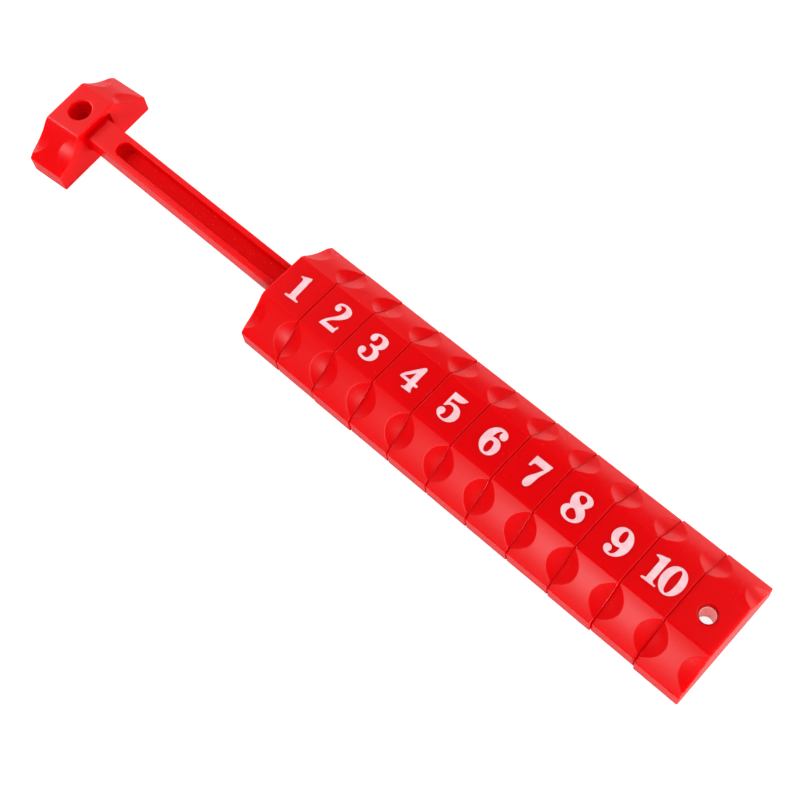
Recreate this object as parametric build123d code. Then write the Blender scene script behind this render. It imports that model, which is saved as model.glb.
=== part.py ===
from build123d import *
import math
import os

os.makedirs("parts", exist_ok=True)

# Millimetres, +Z up. The rail lies along X and the numerals read along +X, their tops to +Y.
# Origin: midway between the two screw holes, on the plane that the blocks stand on.

# Row of blocks
slide_count = 10
slide_length = 13.94
slide_gap = 0.06
free_travel = 80.0
cap_length = 13.4
end_block_length = 13.8

# Section that the blocks share
block_height = 14.4
side_wall_height = 5.8
top_half_width = 7.45
slide_half_width = 18.25
cap_half_width = 18.45
end_half_width = 18.65
flank_crown = 0.3
roof_thickness = 2.0
ridge_radius = 1.1
shoulder_radius = 0.5
foot_radius = 0.4
end_edge_radius = 0.4

# Finger dimples at the block ends
dimple_reach = 4.35
dimple_depth = 1.0
dimple_down_flank = 6.3
dimple_sweep_radius = 48.0
dimple_round_radius = 22.5

# Rail
rail_width = 8.8
rail_height = 6.0
rail_edge_radius = 0.4
rail_end_beyond_hole = 4.4
groove_width = 5.3
groove_depth = 3.4
groove_floor_radius = 0.5
groove_end_from_block = 10.3

# Screw holes and the room around the rail's ends
screw_hole_radius = 2.15
head_recess_radius = 3.25
head_recess_depth = 1.3
cap_hole_radius = 3.55
cap_hole_round = 0.35
cap_floor_hole_radius = 2.6
end_hole_round = 0.8
hollow_half_width = 6.2
shelf_from_hole = 2.9
cap_turn = 4.4
cap_shift = 0.25

# Clearances
height_clearance = 0.2
side_clearance = 0.3
cap_side_clearance = 0.8
pocket_end_clearance = 0.6
cut_over = 1.0
match = 0.01

# Numerals: shares of their height, from the centre of the block's flat top
numeral_height = 8.4
ink_thickness = 0.05
side_play_shares = (-0.4, -0.2, -0.75, 0.1, -0.15, -0.15, 0.0, 0.15, -0.55, 0.6)
figure_shares = {
    "numeral_1": [
        [
            [(-0.250, 0.367)],
            [(0.065, 0.500)],
            [(0.096, 0.500), (0.117, 0.459), (0.126, 0.274)],
            [(0.148, -0.263)],
            [(0.159, -0.337), (0.204, -0.389), (0.296, -0.407)],
            [(0.322, -0.422), (0.322, -0.452), (0.293, -0.469)],
            [(-0.185, -0.500)],
            [(-0.213, -0.485), (-0.219, -0.452), (-0.193, -0.430)],
            [(-0.120, -0.415), (-0.085, -0.389), (-0.078, -0.337)],
            [(-0.107, 0.163)],
            [(-0.115, 0.246), (-0.137, 0.302), (-0.189, 0.326)],
            [(-0.248, 0.337), (-0.263, 0.352), (-0.250, 0.367)],
        ],
    ],
    "numeral_2": [
        [
            [(-0.161, 0.398)],
            [(-0.093, 0.428), (-0.009, 0.441), (0.065, 0.413), (0.106, 0.339), (0.107, 0.246),
             (0.074, 0.135), (0.009, 0.024), (-0.102, -0.115), (-0.194, -0.244), (-0.250, -0.356),
             (-0.283, -0.470)],
            [(-0.281, -0.504)],
            [(0.287, -0.504)],
            [(0.320, -0.494), (0.333, -0.411), (0.346, -0.309)],
            [(0.348, -0.267), (0.324, -0.241), (0.296, -0.252)],
            [(0.281, -0.309), (0.259, -0.337), (0.213, -0.343)],
            [(-0.130, -0.343)],
            [(-0.083, -0.248), (0.019, -0.143), (0.157, -0.031), (0.269, 0.089), (0.333, 0.200),
             (0.352, 0.307), (0.324, 0.404), (0.241, 0.481), (0.130, 0.522), (0.009, 0.530),
             (-0.111, 0.511), (-0.207, 0.456), (-0.263, 0.370), (-0.278, 0.283), (-0.250, 0.209),
             (-0.194, 0.170), (-0.130, 0.167), (-0.074, 0.200), (-0.050, 0.256), (-0.059, 0.315),
             (-0.102, 0.352), (-0.148, 0.370), (-0.161, 0.398)],
        ],
    ],
    "numeral_3": [
        [
            [(-0.133, 0.394)],
            [(-0.083, 0.422), (-0.015, 0.426), (0.056, 0.404), (0.107, 0.344), (0.130, 0.256),
             (0.117, 0.163), (0.065, 0.093), (-0.015, 0.070)],
            [(-0.107, 0.061)],
            [(-0.124, 0.048), (-0.128, 0.011), (-0.119, -0.019)],
            [(-0.037, -0.033), (0.065, -0.063), (0.130, -0.133), (0.156, -0.244), (0.144, -0.346),
             (0.096, -0.411), (0.015, -0.433), (-0.074, -0.424), (-0.148, -0.393)],
            [(-0.115, -0.365), (-0.089, -0.315), (-0.089, -0.235), (-0.130, -0.178), (-0.204, -0.156),
             (-0.278, -0.180), (-0.319, -0.244), (-0.319, -0.319), (-0.278, -0.402), (-0.200, -0.470),
             (-0.102, -0.507), (0.019, -0.520), (0.139, -0.504), (0.250, -0.448), (0.333, -0.356),
             (0.367, -0.244), (0.352, -0.133), (0.296, -0.044), (0.189, 0.028)],
            [(0.269, 0.089), (0.330, 0.172), (0.348, 0.265), (0.330, 0.367), (0.269, 0.456),
             (0.176, 0.504), (0.065, 0.520), (-0.056, 0.511), (-0.167, 0.474), (-0.250, 0.413),
             (-0.300, 0.333), (-0.307, 0.256), (-0.274, 0.185), (-0.207, 0.156), (-0.137, 0.170),
             (-0.093, 0.228), (-0.087, 0.302), (-0.133, 0.394)],
        ],
    ],
    "numeral_4": [
        [
            [(-0.250, 0.006)],
            [(0.083, 0.463)],
            [(0.120, 0.506), (0.181, 0.530), (0.222, 0.500), (0.241, 0.422)],
            [(0.252, -0.111)],
            [(0.356, -0.113)],
            [(0.385, -0.133), (0.389, -0.170), (0.359, -0.204)],
            [(0.267, -0.207)],
            [(0.274, -0.300), (0.296, -0.359), (0.333, -0.402)],
            [(0.337, -0.433), (0.306, -0.452)],
            [(-0.004, -0.463)],
            [(-0.033, -0.452), (-0.037, -0.426), (-0.019, -0.411)],
            [(0.028, -0.393), (0.050, -0.356), (0.056, -0.291)],
            [(0.054, -0.207)],
            [(-0.287, -0.209)],
            [(-0.311, -0.189), (-0.315, -0.156), (-0.300, -0.096), (-0.250, 0.006)],
        ],
        [
            [(-0.207, -0.109)],
            [(0.039, -0.107)],
            [(0.043, 0.176)],
            [(0.015, 0.176)],
            [(-0.207, -0.109)],
        ],
    ],
    "numeral_5": [
        [
            [(-0.257, 0.528)],
            [(0.263, 0.531)],
            [(0.285, 0.519), (0.278, 0.493), (0.244, 0.437)],
            [(0.176, 0.367), (0.083, 0.324), (-0.028, 0.309), (-0.172, 0.304)],
            [(-0.169, 0.156)],
            [(-0.074, 0.185), (0.037, 0.198), (0.157, 0.185), (0.259, 0.144), (0.343, 0.061),
             (0.393, -0.041), (0.402, -0.143), (0.380, -0.254), (0.315, -0.356), (0.213, -0.430),
             (0.083, -0.465), (-0.037, -0.467), (-0.148, -0.439), (-0.241, -0.378), (-0.300, -0.281),
             (-0.300, -0.198), (-0.256, -0.130), (-0.176, -0.102), (-0.102, -0.124), (-0.059, -0.185),
             (-0.063, -0.267), (-0.115, -0.359)],
            [(-0.083, -0.393), (-0.015, -0.411), (0.065, -0.396), (0.126, -0.337), (0.156, -0.235),
             (0.157, -0.115), (0.130, -0.004), (0.070, 0.070), (-0.015, 0.096), (-0.102, 0.078),
             (-0.163, 0.030), (-0.204, -0.022)],
            [(-0.226, -0.041), (-0.256, -0.031), (-0.261, 0.011)],
            [(-0.257, 0.528)],
        ],
    ],
    "numeral_6": [
        [
            [(0.133, 0.448)],
            [(0.065, 0.444), (0.004, 0.367), (-0.033, 0.256), (-0.046, 0.139)],
            [(0.046, 0.169), (0.148, 0.178), (0.250, 0.148), (0.333, 0.080), (0.389, -0.022),
             (0.406, -0.133), (0.381, -0.263), (0.315, -0.374), (0.222, -0.448), (0.102, -0.474),
             (-0.019, -0.454), (-0.139, -0.383), (-0.231, -0.281), (-0.291, -0.143), (-0.309, 0.015),
             (-0.300, 0.181), (-0.254, 0.320), (-0.176, 0.431), (-0.074, 0.509), (0.037, 0.543),
             (0.157, 0.544), (0.259, 0.515), (0.333, 0.450), (0.365, 0.363), (0.346, 0.278),
             (0.287, 0.226), (0.213, 0.224), (0.144, 0.259), (0.107, 0.320), (0.111, 0.385),
             (0.133, 0.448)],
        ],
        [
            [(0.061, 0.033)],
            [(0.124, 0.011), (0.167, -0.069), (0.189, -0.189), (0.181, -0.309), (0.130, -0.387),
             (0.065, -0.396), (0.000, -0.337), (-0.041, -0.226), (-0.050, -0.096), (-0.019, 0.000),
             (0.061, 0.033)],
        ],
    ],
    "numeral_7": [
        [
            [(-0.256, 0.533)],
            [(-0.248, 0.552), (-0.222, 0.559)],
            [(0.343, 0.561)],
            [(0.370, 0.556), (0.370, 0.519), (0.352, 0.431)],
            [(0.293, 0.237), (0.250, 0.080), (0.226, -0.078), (0.213, -0.244), (0.181, -0.374),
             (0.120, -0.448), (0.037, -0.463), (-0.028, -0.420), (-0.063, -0.328), (-0.056, -0.217),
             (-0.015, -0.096), (0.052, 0.015), (0.130, 0.154), (0.213, 0.320)],
            [(-0.115, 0.322)],
            [(-0.152, 0.307), (-0.174, 0.265), (-0.189, 0.215)],
            [(-0.207, 0.170), (-0.244, 0.159), (-0.274, 0.185)],
            [(-0.256, 0.533)],
        ],
    ],
    "numeral_8": [
        [
            [(-0.163, 0.004)],
            [(-0.213, 0.070), (-0.259, 0.163), (-0.283, 0.265), (-0.265, 0.385), (-0.194, 0.493),
             (-0.083, 0.559), (0.037, 0.581), (0.157, 0.578), (0.269, 0.543), (0.348, 0.474),
             (0.383, 0.376), (0.361, 0.283), (0.259, 0.150)],
            [(0.333, 0.085), (0.404, -0.004), (0.444, -0.115), (0.430, -0.244), (0.361, -0.352),
             (0.250, -0.430), (0.120, -0.467), (-0.028, -0.463), (-0.157, -0.417), (-0.259, -0.322),
             (-0.309, -0.198), (-0.281, -0.096), (-0.163, 0.004)],
        ],
        [
            [(-0.074, 0.448)],
            [(0.009, 0.481), (0.102, 0.469), (0.167, 0.413), (0.185, 0.330), (0.159, 0.241),
             (0.102, 0.200)],
            [(0.019, 0.241), (-0.056, 0.302), (-0.096, 0.370), (-0.074, 0.448)],
        ],
        [
            [(-0.013, -0.037)],
            [(0.078, -0.063), (0.167, -0.133), (0.237, -0.217), (0.241, -0.291), (0.181, -0.359),
             (0.096, -0.385), (-0.004, -0.374), (-0.078, -0.319), (-0.107, -0.226), (-0.093, -0.115),
             (-0.013, -0.037)],
        ],
    ],
    "numeral_9": [
        [
            [(-0.041, -0.378)],
            [(0.028, -0.396), (0.096, -0.359), (0.144, -0.272), (0.161, -0.170), (0.161, -0.070)],
            [(0.065, -0.104), (-0.046, -0.115), (-0.148, -0.078), (-0.237, 0.015), (-0.296, 0.126),
             (-0.309, 0.237), (-0.283, 0.357), (-0.213, 0.463), (-0.111, 0.530), (0.028, 0.552),
             (0.148, 0.533), (0.256, 0.463), (0.343, 0.357), (0.402, 0.219), (0.419, 0.061),
             (0.404, -0.096), (0.352, -0.226), (0.263, -0.346), (0.148, -0.430), (0.015, -0.469),
             (-0.120, -0.452), (-0.213, -0.393), (-0.252, -0.309), (-0.237, -0.226), (-0.181, -0.178),
             (-0.107, -0.170), (-0.041, -0.207), (-0.004, -0.272), (-0.011, -0.333), (-0.041, -0.378)],
        ],
        [
            [(0.024, 0.474)],
            [(0.093, 0.422), (0.135, 0.320), (0.148, 0.209), (0.126, 0.098), (0.056, 0.052),
             (-0.015, 0.085), (-0.056, 0.172), (-0.069, 0.293), (-0.050, 0.407), (0.024, 0.474)],
        ],
    ],
    "numeral_10_one": [
        [
            [(-0.559, 0.456)],
            [(-0.500, 0.493), (-0.389, 0.530), (-0.250, 0.574)],
            [(-0.204, 0.585), (-0.170, 0.574), (-0.165, 0.515)],
            [(-0.156, -0.207)],
            [(-0.144, -0.291), (-0.111, -0.322), (-0.028, -0.337)],
            [(0.000, -0.352), (0.000, -0.381), (-0.028, -0.396)],
            [(-0.485, -0.406)],
            [(-0.507, -0.393), (-0.507, -0.359), (-0.481, -0.341)],
            [(-0.417, -0.324), (-0.385, -0.300), (-0.380, -0.244)],
            [(-0.389, 0.256)],
            [(-0.398, 0.339), (-0.435, 0.385), (-0.500, 0.411)],
            [(-0.559, 0.422), (-0.574, 0.437), (-0.559, 0.456)],
        ],
    ],
    "numeral_10_zero": [
        [
            [(0.287, 0.600)],
            [(0.417, 0.574), (0.528, 0.496), (0.611, 0.367), (0.656, 0.200), (0.661, 0.043),
             (0.626, -0.115), (0.552, -0.254), (0.441, -0.350), (0.315, -0.393), (0.185, -0.378),
             (0.070, -0.306), (-0.019, -0.189), (-0.074, -0.041), (-0.089, 0.126), (-0.065, 0.302),
             (0.009, 0.459), (0.130, 0.559), (0.287, 0.600)],
        ],
        [
            [(0.278, 0.522)],
            [(0.343, 0.478), (0.389, 0.370), (0.417, 0.215), (0.426, 0.043), (0.415, -0.133),
             (0.378, -0.267), (0.319, -0.328), (0.256, -0.300), (0.204, -0.193), (0.170, -0.041),
             (0.157, 0.126), (0.172, 0.293), (0.213, 0.441), (0.278, 0.522)],
        ],
    ],
}

# Places that follow from the sizes
pitch = slide_length + slide_gap
hole_x = (cap_length / 2 + free_travel + slide_count * pitch + end_block_length / 2) / 2
cap_face_x = cap_length / 2 - hole_x
row_end_x = hole_x - end_block_length / 2
rail_top = block_height - roof_thickness - height_clearance
rail_bottom = rail_top - rail_height
window_bottom = rail_bottom - height_clearance
window_top = rail_top + height_clearance
pocket_end = rail_end_beyond_hole + pocket_end_clearance


def slide_x(index):
    return row_end_x - (slide_count - index) * pitch - slide_gap - slide_length / 2


def slide_y(index):
    return side_clearance * side_play_shares[(index - 1) % len(side_play_shares)]


def beam(start_x, end_x, half_width, bottom, top):
    middle = Pos((start_x + end_x) / 2, 0, (bottom + top) / 2)
    return middle * Box(end_x - start_x, half_width * 2, top - bottom)


def upright(radius, bottom, top):
    return Pos(0, 0, (bottom + top) / 2) * Cylinder(radius, top - bottom)


def round_corners(face, level, radius):
    corners = [v for v in face.vertices() if abs(v.Y - level) < match]
    return fillet(corners, radius)


def block_section(half_width):
    corners = {}
    for side in (-1, 1):
        foot = (side * half_width, 0)
        shoulder = (side * half_width, side_wall_height)
        ridge = (side * top_half_width, block_height)
        corners[side] = (foot, shoulder, ridge)
    edges = [Line(corners[-1][0], corners[1][0]), Line(corners[-1][2], corners[1][2])]
    for side, (foot, shoulder, ridge) in corners.items():
        edges.append(Line(foot, shoulder))
        edges.append(SagittaArc(shoulder, ridge, -side * flank_crown))
    face = make_face(edges)
    face = round_corners(face, block_height, ridge_radius)
    face = round_corners(face, side_wall_height, shoulder_radius)
    return round_corners(face, 0, foot_radius)


def dimple_ring(length, half_width, end, side):
    run = half_width - top_half_width
    drop = block_height - side_wall_height
    slope = math.hypot(run, drop)
    chord = math.hypot(dimple_reach, dimple_depth)
    rise = math.sqrt(dimple_sweep_radius**2 - (chord / 2) ** 2)
    beyond = rise * dimple_depth / chord - dimple_reach / 2
    lift = rise * dimple_reach / chord - dimple_depth / 2 + flank_crown
    across = top_half_width + (dimple_down_flank * run + lift * drop) / slope
    up = block_height + (lift * run - dimple_down_flank * drop) / slope
    lean = side * math.degrees(math.atan2(run, drop))
    ring = Torus(dimple_sweep_radius - dimple_round_radius, dimple_round_radius)
    return Pos(end * (length / 2 + beyond), side * across, up) * Rot(lean, 0, 0) * ring


def block_body(length, half_width):
    section = Plane.YZ * block_section(half_width)
    body = extrude(section, amount=length / 2, both=True)
    ends = body.faces().sort_by(Axis.X)
    body = fillet(ends[0].edges() + ends[-1].edges(), end_edge_radius)
    for end in (-1, 1):
        for side in (-1, 1):
            body -= dimple_ring(length, half_width, end, side)
    return body


def top_hole(body, radius, rounding):
    body -= upright(radius, window_top - match, block_height + cut_over)
    rims = body.edges().filter_by(GeomType.CIRCLE)
    rims = [e for e in rims if abs(e.radius - radius) < match and e.center().Z > window_top + match]
    return fillet(rims, rounding)


def slide():
    body = block_body(slide_length, slide_half_width)
    reach = slide_length / 2 + cut_over
    return body - beam(-reach, reach, rail_width / 2 + side_clearance, window_bottom, window_top)


def end_cap():
    body = block_body(cap_length, cap_half_width)
    reach = cap_length / 2 + cut_over
    body -= beam(-pocket_end, reach, rail_width / 2 + cap_side_clearance, rail_bottom, window_top)
    body -= upright(cap_floor_hole_radius, -cut_over, rail_bottom + cut_over)
    body = top_hole(body, cap_hole_radius, cap_hole_round)
    return Pos(-hole_x, cap_shift, 0) * Rot(0, 0, cap_turn) * body


def end_block():
    body = block_body(end_block_length, end_half_width)
    reach = end_block_length / 2 + cut_over
    body -= beam(-reach, pocket_end, rail_width / 2 + side_clearance, rail_bottom, window_top)
    body -= beam(-reach, shelf_from_hole, hollow_half_width, -cut_over, rail_bottom + match)
    return Pos(hole_x, 0, 0) * top_hole(body, screw_hole_radius, end_hole_round)


def groove():
    start = cap_face_x + groove_end_from_block + groove_width / 2
    end = row_end_x - groove_end_from_block - groove_width / 2
    outline = Pos((start + end) / 2, 0, 0) * SlotCenterToCenter(end - start, groove_width)
    cut = Pos(0, 0, rail_top - groove_depth) * extrude(outline, amount=groove_depth + cut_over)
    floor_edges = cut.faces().sort_by(Axis.Z)[0].edges()
    return fillet(floor_edges, groove_floor_radius)


def rail():
    half_length = hole_x + rail_end_beyond_hole
    body = beam(-half_length, half_length, rail_width / 2, rail_bottom, rail_top)
    body = fillet(body.edges().filter_by(Axis.X), rail_edge_radius)
    body -= groove()
    for side in (-1, 1):
        body -= Pos(side * hole_x, 0, 0) * upright(screw_hole_radius, 0, block_height)
    return body - Pos(-hole_x, 0, 0) * upright(head_recess_radius, rail_top - head_recess_depth, block_height)


def loop_wire(loop):
    pen = loop[0][0]
    edges = []
    for run in loop[1:]:
        points = [(x * numeral_height, y * numeral_height) for x, y in [pen] + run]
        edges.append(Line(*points) if len(points) == 2 else Spline(*points))
        pen = run[-1]
    return Wire(edges)


def numeral(loops, index):
    face = Face(loop_wire(loops[0]))
    for inner in loops[1:]:
        face -= Face(loop_wire(inner))
    ink = extrude(face, amount=ink_thickness, dir=(0, 0, 1))
    return Pos(slide_x(index), slide_y(index), block_height) * ink


def save(shape, name):
    solid = shape.solids()[0]
    export_step(solid, f"parts/{name}.step")
    print(name, round(solid.volume))


save(rail(), "rail")
save(end_cap(), "end_cap")
save(end_block(), "end_block")
one_slide = slide()
for index in range(1, slide_count + 1):
    save(Pos(slide_x(index), slide_y(index), 0) * one_slide, f"slide_{index}")
for place, name in enumerate(figure_shares):
    index = min(place + 1, slide_count)
    save(numeral(figure_shares[name], index), name)
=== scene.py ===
import math
import bpy
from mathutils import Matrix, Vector


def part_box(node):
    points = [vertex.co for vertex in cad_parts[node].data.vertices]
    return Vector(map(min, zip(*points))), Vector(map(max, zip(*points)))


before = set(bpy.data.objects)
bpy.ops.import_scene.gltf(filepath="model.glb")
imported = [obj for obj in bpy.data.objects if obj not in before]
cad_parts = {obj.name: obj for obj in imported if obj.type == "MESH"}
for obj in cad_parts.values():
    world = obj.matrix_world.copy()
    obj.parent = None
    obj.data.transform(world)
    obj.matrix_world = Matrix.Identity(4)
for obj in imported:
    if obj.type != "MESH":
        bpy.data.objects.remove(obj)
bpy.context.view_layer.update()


def toLinear(channel):
    return channel / 12.92 if channel <= 0.04045 else ((channel + 0.055) / 1.055) ** 2.4


def hexColour(code):
    parts = [int(code[i:i + 2], 16) / 255 for i in (0, 2, 4)]
    return [toLinear(part) for part in parts] + [1.0]


# The camera stands off the end block's corner and looks down along the row.
camera = {
    "place": (0.15246, -0.10739, 0.35146),
    "turnDegrees": (25.742, 4.583, 43.163),
    "lensMm": 64.233,
    "sensorMm": 36.0,
    "nearest": 0.01,
}


def addCamera():
    data = bpy.data.cameras.new("camera")
    data.lens = camera["lensMm"]
    data.sensor_width = camera["sensorMm"]
    data.clip_start = camera["nearest"]
    eye = bpy.data.objects.new("camera", data)
    eye.location = camera["place"]
    eye.rotation_euler = [math.radians(angle) for angle in camera["turnDegrees"]]
    bpy.context.scene.collection.objects.link(eye)
    bpy.context.scene.camera = eye
    print("camera placed")


# Adds a node. Each input, by name or number, takes a value or a link from another node's output,
# and a ramp takes its stops as (position, colour).
def addNode(tree, kind, place, inputs=None, stops=(), **settings):
    node = tree.nodes.new("ShaderNode" + kind)
    node.location = place
    for name, value in settings.items():
        setattr(node, name, value)
    for name, value in (inputs or {}).items():
        if isinstance(value, bpy.types.NodeSocket):
            tree.links.new(value, node.inputs[name])
        else:
            node.inputs[name].default_value = value
    for count, (position, colour) in enumerate(stops):
        elements = node.color_ramp.elements
        element = elements[count] if count < len(elements) else elements.new(1.0)
        element.position = position
        element.color = colour
    return node


def newMaterial(name):
    material = bpy.data.materials.new(name)
    material.use_nodes = True
    material.node_tree.nodes.clear()
    return material, material.node_tree


# Polystyrene, injection moulded in a smooth steel mould and coloured right through: a strong
# even red with faint cloudy flow marks, a soft gloss, and thin bright lines along its edges.
redPlastic = {
    "deep": "e60006",
    "light": "ec0208",
    "mottleScale": 60.0,  # clouds of about 17 mm, a little more than a block is long
    "mottleDetail": 3.0,
    "roughLow": 0.26,
    "roughHigh": 0.28,
    "grainScale": 700.0,  # 1.4 mm, far coarser than the mould's real grain, so that it can show
    "grainDetail": 4.0,
    "ior": 1.5,  # polystyrene has 1.59, and the gloss in the photograph is weaker than that
    "specularLevel": 0.25,
    "scatter": 0.8,
    "scatterDepth": 0.003,  # light spreads about 3 mm in the red
    "rippleScale": 160.0,  # swells of about 6 mm where the wall shrank as it cooled
    "rippleDetail": 2.0,
    "rippleHeight": 0.000003,
    "edgeRadius": 0.00045,
    "edgeSamples": 6,
}

# Painted shade in seams and inner corners of the same plastic: where nearby surfaces shut the
# light out, a dull darker red is painted in, and a wider test paints a broad shadow on high faces
# near taller parts, such as the rail's top under the cap's roof. The small glow is painted light,
# standing for light that the plastic carries there.
paintedCornerShade = {
    "reach": 0.001,  # how far off a surface counts as near
    "shut": 0.88,  # all dull red where less of the view than this is clear
    "open": 1.0,  # all gloss from here on
    "samples": 12,
    "wideReach": 0.004,
    "wideShut": 0.6,
    "wideOpen": 0.97,
    "wideShare": 0.95,  # the most dull red that the wide shade gives
    "wideAbove": 0.0065,  # it stays off the low side walls
    "wideSamples": 8,
    "colour": "b80004",
    "roughness": 0.8,
    "glow": 0.35,
}

# The end block's screw hole, moulded round a polished pin. Painted light: its wall is painted
# pale pink with a small glow, standing for the table's light seen through the hole, with fine
# darker marks; around it a ring of painted shade, a dull dark red on the rounded rim.
paintedBoreLightAndShade = {
    "radius": 0.0022,  # just over the hole's own
    "rimRadius": 0.0030,  # where its rounded edge meets the flat top
    "rimShadeColour": "900003",
    "rimRoughness": 0.8,
    "colour": "ffa8a4",
    "streak": "cc7070",
    "streakScale": 2600.0,  # 0.4 mm, the real marks are finer than a pixel
    "streakDetail": 2.0,
    "streakEnd": 0.35,
    "colourStart": 0.6,
    "roughness": 0.35,
    "glow": 0.28,
}

# The floor of the rail's groove, moulded against a steel insert that was left rough: matt,
# with small pale specks.
grooveFloor = {
    "halfWidth": 0.0028,  # just over half the groove's width
    "lowest": 0.0075,
    "highest": 0.0096,  # a little up the walls
    "colour": "ee0408",
    "speck": "ff4a50",
    "speckScale": 1700.0,  # 0.6 mm, the real specks are finer than a pixel
    "speckDetail": 1.0,
    "plainEnd": 0.68,
    "speckStart": 0.74,
    "roughness": 0.75,
    "specularLevel": 0.06,
}


# Painted shade: a dull darker red with a small painted glow replaces the gloss where nearby
# surfaces shut the light out.
def addPaintedCornerShade(tree, where, gloss):
    reach = addNode(tree, "AmbientOcclusion", (0, 400), {"Distance": paintedCornerShade["reach"]},
                    samples=paintedCornerShade["samples"])
    shut = addNode(tree, "MapRange", (200, 400), {
        "Value": reach.outputs["AO"],
        "From Min": paintedCornerShade["shut"], "From Max": paintedCornerShade["open"]})
    wide = addNode(tree, "AmbientOcclusion", (-200, 650), {"Distance": paintedCornerShade["wideReach"]},
                   samples=paintedCornerShade["wideSamples"])
    wideShut = addNode(tree, "MapRange", (0, 650), {
        "Value": wide.outputs["AO"],
        "From Min": paintedCornerShade["wideShut"], "From Max": paintedCornerShade["wideOpen"],
        "To Min": 1.0 - paintedCornerShade["wideShare"]})
    axes = addNode(tree, "SeparateXYZ", (-400, 850), {"Vector": where})
    low = addNode(tree, "Math", (-200, 850), {0: axes.outputs["Z"], 1: paintedCornerShade["wideAbove"]},
                  operation="LESS_THAN")
    lifted = addNode(tree, "Math", (200, 750), {0: wideShut.outputs["Result"], 1: low.outputs[0]},
                     operation="MAXIMUM")
    both = addNode(tree, "Math", (400, 600), {0: shut.outputs["Result"], 1: lifted.outputs[0]},
                   operation="MINIMUM")
    # the painted shade, a darker red with a painted glow
    dull = addNode(tree, "BsdfPrincipled", (200, -500), {
        "Base Color": hexColour(paintedCornerShade["colour"]),
        "Roughness": paintedCornerShade["roughness"],
        "Specular IOR Level": 0.0,
        "Emission Color": hexColour(paintedCornerShade["colour"]),
        "Emission Strength": paintedCornerShade["glow"]})
    pick = addNode(tree, "MixShader", (600, 200), {
        0: both.outputs[0], 1: dull.outputs["BSDF"], 2: gloss})
    return pick.outputs[0]


# 1 on the groove's floor and the foot of its walls, 0 elsewhere.
def addGrooveMask(tree, where):
    axes = addNode(tree, "SeparateXYZ", (-900, -700), {"Vector": where})
    away = addNode(tree, "Math", (-700, -600), {0: axes.outputs["Y"]}, operation="ABSOLUTE")
    inside = addNode(tree, "Math", (-500, -600), {
        0: away.outputs[0], 1: grooveFloor["halfWidth"]}, operation="LESS_THAN")
    above = addNode(tree, "Math", (-500, -750), {
        0: axes.outputs["Z"], 1: grooveFloor["lowest"]}, operation="GREATER_THAN")
    below = addNode(tree, "Math", (-500, -900), {
        0: axes.outputs["Z"], 1: grooveFloor["highest"]}, operation="LESS_THAN")
    level = addNode(tree, "Math", (-300, -800), {
        0: above.outputs[0], 1: below.outputs[0]}, operation="MULTIPLY")
    mask = addNode(tree, "Math", (-100, -700), {
        0: inside.outputs[0], 1: level.outputs[0]}, operation="MULTIPLY")
    return mask.outputs[0]


def addGrooveFloor(tree, where, around):
    specks = addNode(tree, "TexNoise", (-300, -1000), {
        "Vector": where,
        "Scale": grooveFloor["speckScale"], "Detail": grooveFloor["speckDetail"]})
    spread = addNode(tree, "ValToRGB", (-100, -1000), {"Fac": specks.outputs["Fac"]}, stops=[
        (grooveFloor["plainEnd"], hexColour(grooveFloor["colour"])),
        (grooveFloor["speckStart"], hexColour(grooveFloor["speck"]))])
    dull = addNode(tree, "BsdfPrincipled", (400, -700), {
        "Base Color": spread.outputs["Color"],
        "Roughness": grooveFloor["roughness"],
        "Specular IOR Level": grooveFloor["specularLevel"]})
    pick = addNode(tree, "MixShader", (700, -200), {
        0: addGrooveMask(tree, where), 1: around, 2: dull.outputs["BSDF"]})
    return pick.outputs[0]


# Painted light in the end block's screw hole and painted shade on its rim, measured from the
# upright axis in the middle of the end block.
def addPaintedBoreLightAndShade(tree, where, around):
    low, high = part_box("end_block")
    axis = addNode(tree, "VectorMath", (-900, -1300), {
        0: where, 1: (1, 1, 0), 2: (-(low[0] + high[0]) / 2, 0, 0)}, operation="MULTIPLY_ADD")
    away = addNode(tree, "VectorMath", (-700, -1300), {0: axis.outputs["Vector"]},
                   operation="LENGTH")
    inside = addNode(tree, "Math", (-500, -1300), {
        0: away.outputs["Value"], 1: paintedBoreLightAndShade["radius"]}, operation="LESS_THAN")
    streaks = addNode(tree, "TexNoise", (-500, -1500), {
        "Vector": where,
        "Scale": paintedBoreLightAndShade["streakScale"], "Detail": paintedBoreLightAndShade["streakDetail"]})
    spread = addNode(tree, "ValToRGB", (-300, -1500), {"Fac": streaks.outputs["Fac"]}, stops=[
        (paintedBoreLightAndShade["streakEnd"], hexColour(paintedBoreLightAndShade["streak"])),
        (paintedBoreLightAndShade["colourStart"], hexColour(paintedBoreLightAndShade["colour"]))])
    # painted light: the hole's wall, pale pink with a glow
    bore = addNode(tree, "BsdfPrincipled", (200, -1300), {
        "Base Color": spread.outputs["Color"],
        "Roughness": paintedBoreLightAndShade["roughness"],
        "Emission Color": spread.outputs["Color"],
        "Emission Strength": paintedBoreLightAndShade["glow"]})
    fade = addNode(tree, "MapRange", (-500, -1700), {
        "Value": away.outputs["Value"],
        "From Min": paintedBoreLightAndShade["radius"], "From Max": paintedBoreLightAndShade["rimRadius"]})
    # painted shade on the hole's rounded rim
    rim = addNode(tree, "BsdfPrincipled", (200, -1800), {
        "Base Color": hexColour(paintedBoreLightAndShade["rimShadeColour"]),
        "Roughness": paintedBoreLightAndShade["rimRoughness"],
        "Specular IOR Level": 0.0})
    pickRim = addNode(tree, "MixShader", (650, 0), {
        0: fade.outputs["Result"], 1: rim.outputs["BSDF"], 2: around})
    pick = addNode(tree, "MixShader", (750, 0), {
        0: inside.outputs[0], 1: pickRim.outputs[0], 2: bore.outputs["BSDF"]})
    return pick.outputs[0]


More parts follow.
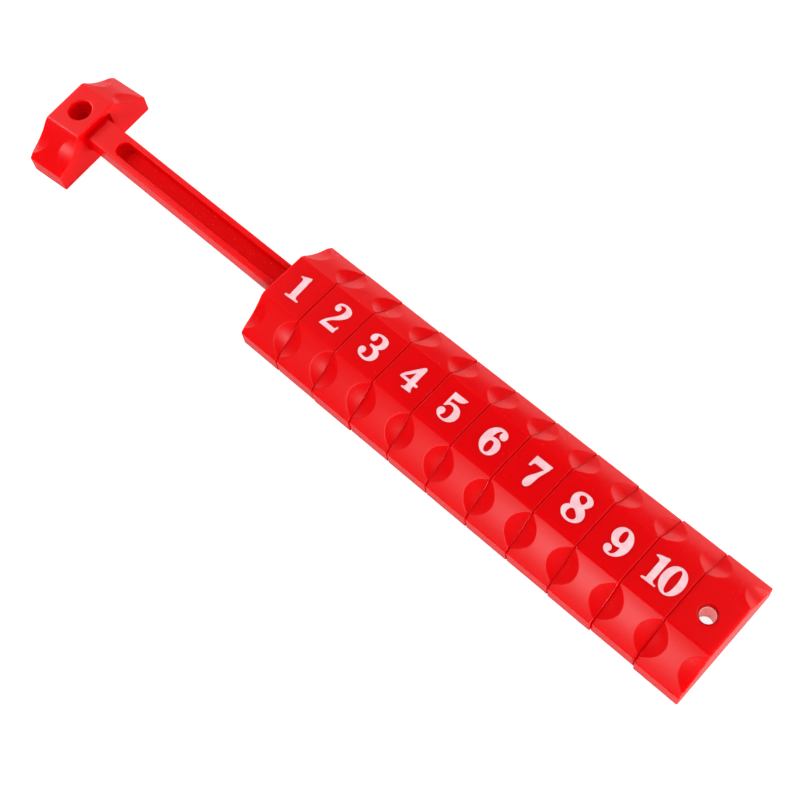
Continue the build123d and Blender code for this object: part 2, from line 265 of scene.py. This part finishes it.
def makeRedPlastic(name, grooved=False):
    material, tree = newMaterial(name)
    where = addNode(tree, "TexCoord", (-1100, 0)).outputs["Object"]
    mottle = addNode(tree, "TexNoise", (-850, 200), {
        "Vector": where,
        "Scale": redPlastic["mottleScale"], "Detail": redPlastic["mottleDetail"]})
    blend = addNode(tree, "ValToRGB", (-600, 200), {"Fac": mottle.outputs["Fac"]}, stops=[
        (0.0, hexColour(redPlastic["deep"])), (1.0, hexColour(redPlastic["light"]))])
    grain = addNode(tree, "TexNoise", (-850, -100), {
        "Vector": where,
        "Scale": redPlastic["grainScale"], "Detail": redPlastic["grainDetail"]})
    rough = addNode(tree, "MapRange", (-600, -100), {
        "Value": grain.outputs["Fac"],
        "To Min": redPlastic["roughLow"], "To Max": redPlastic["roughHigh"]})
    ripple = addNode(tree, "TexNoise", (-850, -400), {
        "Vector": where,
        "Scale": redPlastic["rippleScale"], "Detail": redPlastic["rippleDetail"]})
    soft = addNode(tree, "Bevel", (-500, -500), {"Radius": redPlastic["edgeRadius"]},
                   samples=redPlastic["edgeSamples"])
    bump = addNode(tree, "Bump", (-300, -300), {
        "Strength": 1.0, "Distance": redPlastic["rippleHeight"],
        "Height": ripple.outputs["Fac"], "Normal": soft.outputs["Normal"]})
    surface = addNode(tree, "BsdfPrincipled", (400, 0), {
        "Base Color": blend.outputs["Color"],
        "Roughness": rough.outputs["Result"],
        "Normal": bump.outputs["Normal"],
        "IOR": redPlastic["ior"],
        "Specular IOR Level": redPlastic["specularLevel"],
        "Subsurface Weight": redPlastic["scatter"],
        "Subsurface Scale": redPlastic["scatterDepth"]})
    # the plastic's finish, with painted shade in corners and painted light in the screw hole
    finishAndPaintedLight = addPaintedCornerShade(tree, where, surface.outputs["BSDF"])
    if grooved:
        finishAndPaintedLight = addGrooveFloor(tree, where, finishAndPaintedLight)
    finishAndPaintedLight = addPaintedBoreLightAndShade(tree, where, finishAndPaintedLight)  # last, because the rail's hole is in it too
    addNode(tree, "OutputMaterial", (900, 0), {"Surface": finishAndPaintedLight})
    return material


# Two-part ink, pad printed in one thin matt coat: a pale pink, because the red shows through,
# more in some patches than in others.
paleInk = {
    "thin": "ffc4cc",
    "full": "ffdae0",
    "patchScale": 500.0,  # patches of 2 mm, the width of a figure's stem
    "patchDetail": 2.0,
    "thinEnd": 0.35,
    "fullStart": 0.65,
    "roughness": 0.5,
}


def makeInk():
    material, tree = newMaterial("padPrintedInk")
    where = addNode(tree, "TexCoord", (-800, 0)).outputs["Object"]
    patch = addNode(tree, "TexNoise", (-600, 0), {
        "Vector": where,
        "Scale": paleInk["patchScale"], "Detail": paleInk["patchDetail"]})
    blend = addNode(tree, "ValToRGB", (-350, 0), {"Fac": patch.outputs["Fac"]}, stops=[
        (paleInk["thinEnd"], hexColour(paleInk["thin"])),
        (paleInk["fullStart"], hexColour(paleInk["full"]))])
    surface = addNode(tree, "BsdfPrincipled", (400, 0), {
        "Base Color": blend.outputs["Color"], "Roughness": paleInk["roughness"]})
    addNode(tree, "OutputMaterial", (900, 0), {"Surface": surface.outputs["BSDF"]})
    return material


def dressNodes():
    red = makeRedPlastic("mouldedRedPlastic")
    railRed = makeRedPlastic("railRedPlastic", grooved=True)
    ink = makeInk()
    for name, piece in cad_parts.items():
        wanted = ink if name.startswith("numeral") else railRed if name == "rail" else red
        for slot in piece.material_slots:
            slot.material = wanted
    print("materials set")


# White painted table top, matt: the eye sees clean white with a soft shadow. Glossy surfaces see
# a painted pool of light on it instead, an emission that only glossy rays meet, in bands along
# the object and dimmer close to it as painted shade.
floor = {
    "size": 6.0,
    "drop": 0.00005,
    "colour": "fafafa",
    "seenColour": "a0a0a0",
    "glow": 0.88,
    "poolReach": 0.14,
    "poolGlow": 1.4,
    "poolStops": (  # place and level, from the near side (-Y) to the far side
        (0.15, 0.0), (0.29, 0.35), (0.32, 0.6), (0.38, 0.3),
        (0.62, 0.4), (0.68, 1.0), (0.72, 0.6), (0.85, 0.0),
    ),
}


# Painted light: the pool's level across the table, for glossy rays only, with painted shade close
# to the object.
def addPaintedPool(tree):
    where = addNode(tree, "TexCoord", (-1300, -400)).outputs["Object"]
    axes = addNode(tree, "SeparateXYZ", (-1100, -400), {"Vector": where})
    share = addNode(tree, "MapRange", (-700, -400), {
        "Value": axes.outputs["Y"],
        "From Min": -floor["poolReach"], "From Max": floor["poolReach"]})
    levels = [(at, [level] * 3 + [1.0]) for at, level in floor["poolStops"]]
    pool = addNode(tree, "ValToRGB", (-500, -400), {"Fac": share.outputs["Result"]}, stops=levels)
    return pool.outputs["Color"]


def makeTableTop():
    material, tree = newMaterial("whiteTable")
    path = addNode(tree, "LightPath", (-900, 300))
    seen = addNode(tree, "Math", (-500, 200), {
        0: path.outputs["Is Camera Ray"], 1: path.outputs["Is Transmission Ray"]},
        operation="MAXIMUM")
    plain = addNode(tree, "BsdfDiffuse", (-250, 0), {"Color": hexColour(floor["colour"])})
    shade = addNode(tree, "BsdfDiffuse", (-250, -150), {"Color": hexColour(floor["seenColour"])})
    glow = addNode(tree, "Emission", (-250, -300), {"Strength": floor["glow"]})
    pool = addNode(tree, "Emission", (-250, -450), {
        "Color": addPaintedPool(tree), "Strength": floor["poolGlow"]})
    both = addNode(tree, "AddShader", (0, -200), {0: shade.outputs[0], 1: glow.outputs[0]})
    pick = addNode(tree, "MixShader", (300, 0), {
        0: seen.outputs[0], 1: plain.outputs[0], 2: both.outputs[0]})
    pickGloss = addNode(tree, "MixShader", (550, 0), {
        0: path.outputs["Is Glossy Ray"], 1: pick.outputs[0], 2: pool.outputs[0]})
    addNode(tree, "OutputMaterial", (900, 0), {"Surface": pickGloss.outputs[0]})
    return material


def makeFloor():
    half = floor["size"] / 2
    corners = [(-half, -half, 0), (half, -half, 0), (half, half, 0), (-half, half, 0)]
    mesh = bpy.data.meshes.new("table")
    mesh.from_pydata(corners, [], [(0, 1, 2, 3)])
    mesh.materials.append(makeTableTop())
    table = bpy.data.objects.new("table", mesh)
    table.location.z = -floor["drop"]
    bpy.context.scene.collection.objects.link(table)
    print("floor laid")


# Softboxes: centre, width and height, the point that each faces, and radiance.
lamps = {
    "key": {
        "place": (0.75, 0.3, 0.87), "size": (1.5, 1.5),
        "faces": (0.05, 0, 0), "radiance": 0.82},
    "back": {
        "place": (-0.5, -0.1, 0.34), "size": (0.34, 0.3),
        "faces": (0, 0, 0), "radiance": 6.1},
    "fill": {
        "place": (1.0, -0.39, 0.36), "size": (0.7, 0.4),
        "faces": (0.05, 0, 0), "radiance": 3.1},
    "side": {
        "place": (0.62, 0.8, 0.42), "size": (0.9, 0.5),
        "faces": (0.05, 0, 0), "radiance": 4.6},
    "frontLow": {
        "place": (0.72, -0.76, 0.15), "size": (0.5, 0.3),
        "faces": (0.05, 0, 0), "radiance": 12.5},
    "front": {
        "place": (-0.27, -1.8, 1.1), "size": (0.35, 0.27),
        "faces": (0.05, 0, 0), "radiance": 20.0},
    "frontTail": {
        "place": (-0.69, -1.8, 1.0), "size": (0.3, 0.35),
        "faces": (0, 0, 0), "radiance": 2.7},
    "farWall": {
        "place": (-1.2, 1.2, 0.95), "size": (3.2, 1.9),
        "faces": (0, 1.2, 0.95), "radiance": 0.8},
}

# The camera, and anything clear, sees a white studio. Light and gloss come from a dim one.
studio = {"seen": "ffffff", "dimLevel": 0.03}


def addLamps():
    for name, lamp in lamps.items():
        data = bpy.data.lights.new(name, "AREA")
        data.shape = "RECTANGLE"
        data.size, data.size_y = lamp["size"]
        data.energy = lamp["radiance"] * math.pi * data.size * data.size_y
        light = bpy.data.objects.new(name, data)
        light.location = lamp["place"]
        aim = Vector(lamp["faces"]) - Vector(lamp["place"])
        light.rotation_euler = aim.to_track_quat("-Z", "Y").to_euler()
        bpy.context.scene.collection.objects.link(light)
    print("lamps lit")


def addStudio():
    world = bpy.data.worlds.new("studio")
    bpy.context.scene.world = world
    world.use_nodes = True
    tree = world.node_tree
    tree.nodes.clear()
    path = addNode(tree, "LightPath", (-600, 0))
    seen = addNode(tree, "Math", (-400, 0), {
        0: path.outputs["Is Camera Ray"], 1: path.outputs["Is Transmission Ray"]},
        operation="MAXIMUM")
    level = addNode(tree, "MapRange", (-200, 0), {
        "Value": seen.outputs[0], "To Min": studio["dimLevel"]})
    background = addNode(tree, "Background", (100, 0), {
        "Color": hexColour(studio["seen"]), "Strength": level.outputs["Result"]})
    addNode(tree, "OutputWorld", (400, 0), {"Surface": background.outputs[0]})
    bpy.context.scene.view_settings.view_transform = "Standard"
    print("studio set")


addCamera()
dressNodes()
makeFloor()
addLamps()
addStudio()
